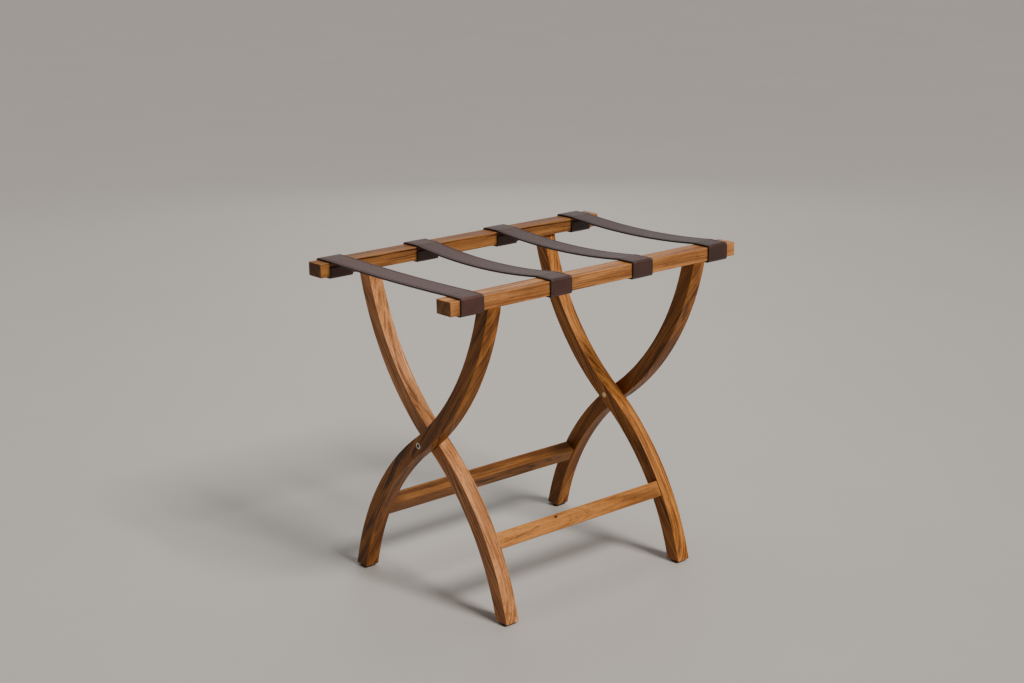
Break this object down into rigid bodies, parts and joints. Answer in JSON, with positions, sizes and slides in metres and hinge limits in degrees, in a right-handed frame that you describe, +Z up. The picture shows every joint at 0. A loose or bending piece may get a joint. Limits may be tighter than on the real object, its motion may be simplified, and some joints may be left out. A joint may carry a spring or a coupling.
{
  "type": "folding luggage rack",
  "caption": "Folding luggage rack with curved crossed wooden legs on a bolted pivot, two straight rails, low stretchers and leather straps across the top.",
  "frame": {"origin": "on the floor, at the middle of the rack's outline seen from above", "axes": "+X along the rails to the right, +Y from the front rail to the back rail, +Z up"},
  "size_m": [0.664, 0.4154, 0.6037],
  "materials": {
    "frame_wood": "oiled brown hardwood with dark streaks, satin",
    "dowel_wood": "plain pale dowel",
    "strap_leather": "dark brown leather, double layer, stitched near both edges, low sheen",
    "bolt_steel": "nickel finish, hexagon socket",
    "nut_brass": "polished",
    "glide_nylon": "dark, matt"
  },
  "bodies": {
    "outer_frame": {"rail_front": "frame_wood", "outer_leg_left": "frame_wood", "outer_leg_right": "frame_wood", "stretcher_back": "frame_wood", "rail_front_dowel_left": "dowel_wood", "rail_front_dowel_right": "dowel_wood", "stretcher_back_dowel_left": "dowel_wood", "stretcher_back_dowel_right": "dowel_wood", "outer_glide_left": "glide_nylon", "outer_glide_right": "glide_nylon", "pivot_bolt_left": "bolt_steel", "pivot_bolt_right": "bolt_steel", "pivot_washer_left": "glide_nylon", "pivot_washer_right": "glide_nylon", "strap_1_front_wrap": "strap_leather", "strap_2_front_wrap": "strap_leather", "strap_3_front_wrap": "strap_leather", "strap_4_front_wrap": "strap_leather"},
    "inner_frame": {"rail_back": "frame_wood", "inner_leg_left": "frame_wood", "inner_leg_right": "frame_wood", "stretcher_front": "frame_wood", "rail_back_dowel_left": "dowel_wood", "rail_back_dowel_right": "dowel_wood", "stretcher_front_dowel_left": "dowel_wood", "stretcher_front_dowel_right": "dowel_wood", "inner_glide_left": "glide_nylon", "inner_glide_right": "glide_nylon", "pivot_nut_left": "nut_brass", "pivot_nut_right": "nut_brass", "strap_1_back_wrap": "strap_leather", "strap_2_back_wrap": "strap_leather", "strap_3_back_wrap": "strap_leather", "strap_4_back_wrap": "strap_leather"},
    "strap_1_front_run": {"strap_1_front_run": "strap_leather"},
    "strap_1_front_middle": {"strap_1_front_middle": "strap_leather"},
    "strap_1_back_run": {"strap_1_back_run": "strap_leather"},
    "strap_1_back_middle": {"strap_1_back_middle": "strap_leather"},
    "strap_2_front_run": {"strap_2_front_run": "strap_leather"},
    "strap_2_front_middle": {"strap_2_front_middle": "strap_leather"},
    "strap_2_back_run": {"strap_2_back_run": "strap_leather"},
    "strap_2_back_middle": {"strap_2_back_middle": "strap_leather"},
    "strap_3_front_run": {"strap_3_front_run": "strap_leather"},
    "strap_3_front_middle": {"strap_3_front_middle": "strap_leather"},
    "strap_3_back_run": {"strap_3_back_run": "strap_leather"},
    "strap_3_back_middle": {"strap_3_back_middle": "strap_leather"},
    "strap_4_front_run": {"strap_4_front_run": "strap_leather"},
    "strap_4_front_middle": {"strap_4_front_middle": "strap_leather"},
    "strap_4_back_run": {"strap_4_back_run": "strap_leather"},
    "strap_4_back_middle": {"strap_4_back_middle": "strap_leather"}
  },
  "joints": [
    {"name": "fold", "type": "hinge", "parent": "outer_frame", "child": "inner_frame", "pos_m": [0, 0, 0.288], "axis": [1, 0, 0], "range_deg": [0, 52], "deforming": ["strap_1_front_middle", "strap_1_front_run", "strap_1_back_middle", "strap_1_back_run", "strap_2_front_middle", "strap_2_front_run", "strap_2_back_middle", "strap_2_back_run", "strap_3_front_middle", "strap_3_front_run", "strap_3_back_middle", "strap_3_back_run", "strap_4_front_middle", "strap_4_front_run", "strap_4_back_middle", "strap_4_back_run"]},
    {"name": "strap_1_front_bend", "type": "hinge", "parent": "outer_frame", "child": "strap_1_front_run", "pos_m": [-0.289, -0.1685, 0.5975], "axis": [-1, 0, 0], "range_deg": [0, 72.74]},
    {"name": "strap_1_front_curl", "type": "hinge", "parent": "strap_1_front_run", "child": "strap_1_front_middle", "pos_m": [-0.289, -0.034, 0.5996], "axis": [1, 0, 0], "range_deg": [0, 98.74]},
    {"name": "strap_1_back_bend", "type": "hinge", "parent": "inner_frame", "child": "strap_1_back_run", "pos_m": [-0.289, 0.1685, 0.5975], "axis": [1, 0, 0], "range_deg": [0, 72.74]},
    {"name": "strap_1_back_curl", "type": "hinge", "parent": "strap_1_back_run", "child": "strap_1_back_middle", "pos_m": [-0.289, 0.034, 0.5996], "axis": [-1, 0, 0], "range_deg": [0, 98.74]},
    {"name": "strap_2_front_bend", "type": "hinge", "parent": "outer_frame", "child": "strap_2_front_run", "pos_m": [-0.0965, -0.1685, 0.5975], "axis": [-1, 0, 0], "range_deg": [0, 69.46]},
    {"name": "strap_2_front_curl", "type": "hinge", "parent": "strap_2_front_run", "child": "strap_2_front_middle", "pos_m": [-0.0965, -0.034, 0.59193], "axis": [1, 0, 0], "range_deg": [0, 95.46]},
    {"name": "strap_2_back_bend", "type": "hinge", "parent": "inner_frame", "child": "strap_2_back_run", "pos_m": [-0.0965, 0.1685, 0.5975], "axis": [1, 0, 0], "range_deg": [0, 69.46]},
    {"name": "strap_2_back_curl", "type": "hinge", "parent": "strap_2_back_run", "child": "strap_2_back_middle", "pos_m": [-0.0965, 0.034, 0.59193], "axis": [-1, 0, 0], "range_deg": [0, 95.46]},
    {"name": "strap_3_front_bend", "type": "hinge", "parent": "outer_frame", "child": "strap_3_front_run", "pos_m": [0.0945, -0.1685, 0.5975], "axis": [-1, 0, 0], "range_deg": [0, 69.87]},
    {"name": "strap_3_front_curl", "type": "hinge", "parent": "strap_3_front_run", "child": "strap_3_front_middle", "pos_m": [0.0945, -0.034, 0.59289], "axis": [1, 0, 0], "range_deg": [0, 95.87]},
    {"name": "strap_3_back_bend", "type": "hinge", "parent": "inner_frame", "child": "strap_3_back_run", "pos_m": [0.0945, 0.1685, 0.5975], "axis": [1, 0, 0], "range_deg": [0, 69.87]},
    {"name": "strap_3_back_curl", "type": "hinge", "parent": "strap_3_back_run", "child": "strap_3_back_middle", "pos_m": [0.0945, 0.034, 0.59289], "axis": [-1, 0, 0], "range_deg": [0, 95.87]},
    {"name": "strap_4_front_bend", "type": "hinge", "parent": "outer_frame", "child": "strap_4_front_run", "pos_m": [0.2845, -0.1685, 0.5975], "axis": [-1, 0, 0], "range_deg": [0, 70.28]},
    {"name": "strap_4_front_curl", "type": "hinge", "parent": "strap_4_front_run", "child": "strap_4_front_middle", "pos_m": [0.2845, -0.034, 0.59385], "axis": [1, 0, 0], "range_deg": [0, 96.28]},
    {"name": "strap_4_back_bend", "type": "hinge", "parent": "inner_frame", "child": "strap_4_back_run", "pos_m": [0.2845, 0.1685, 0.5975], "axis": [1, 0, 0], "range_deg": [0, 70.28]},
    {"name": "strap_4_back_curl", "type": "hinge", "parent": "strap_4_back_run", "child": "strap_4_back_middle", "pos_m": [0.2845, 0.034, 0.59385], "axis": [-1, 0, 0], "range_deg": [0, 96.28]}
  ],
  "couplings": [
    {"joint": "strap_1_front_bend", "follows": "fold", "ratio": 1.3978},
    {"joint": "strap_1_front_curl", "follows": "fold", "ratio": 1.8978},
    {"joint": "strap_1_back_bend", "follows": "fold", "ratio": 1.3978},
    {"joint": "strap_1_back_curl", "follows": "fold", "ratio": 1.8978},
    {"joint": "strap_2_front_bend", "follows": "fold", "ratio": 1.3348},
    {"joint": "strap_2_front_curl", "follows": "fold", "ratio": 1.8348},
    {"joint": "strap_2_back_bend", "follows": "fold", "ratio": 1.3348},
    {"joint": "strap_2_back_curl", "follows": "fold", "ratio": 1.8348},
    {"joint": "strap_3_front_bend", "follows": "fold", "ratio": 1.3427},
    {"joint": "strap_3_front_curl", "follows": "fold", "ratio": 1.8427},
    {"joint": "strap_3_back_bend", "follows": "fold", "ratio": 1.3427},
    {"joint": "strap_3_back_curl", "follows": "fold", "ratio": 1.8427},
    {"joint": "strap_4_front_bend", "follows": "fold", "ratio": 1.3506},
    {"joint": "strap_4_front_curl", "follows": "fold", "ratio": 1.8506},
    {"joint": "strap_4_back_bend", "follows": "fold", "ratio": 1.3506},
    {"joint": "strap_4_back_curl", "follows": "fold", "ratio": 1.8506}
  ]
}
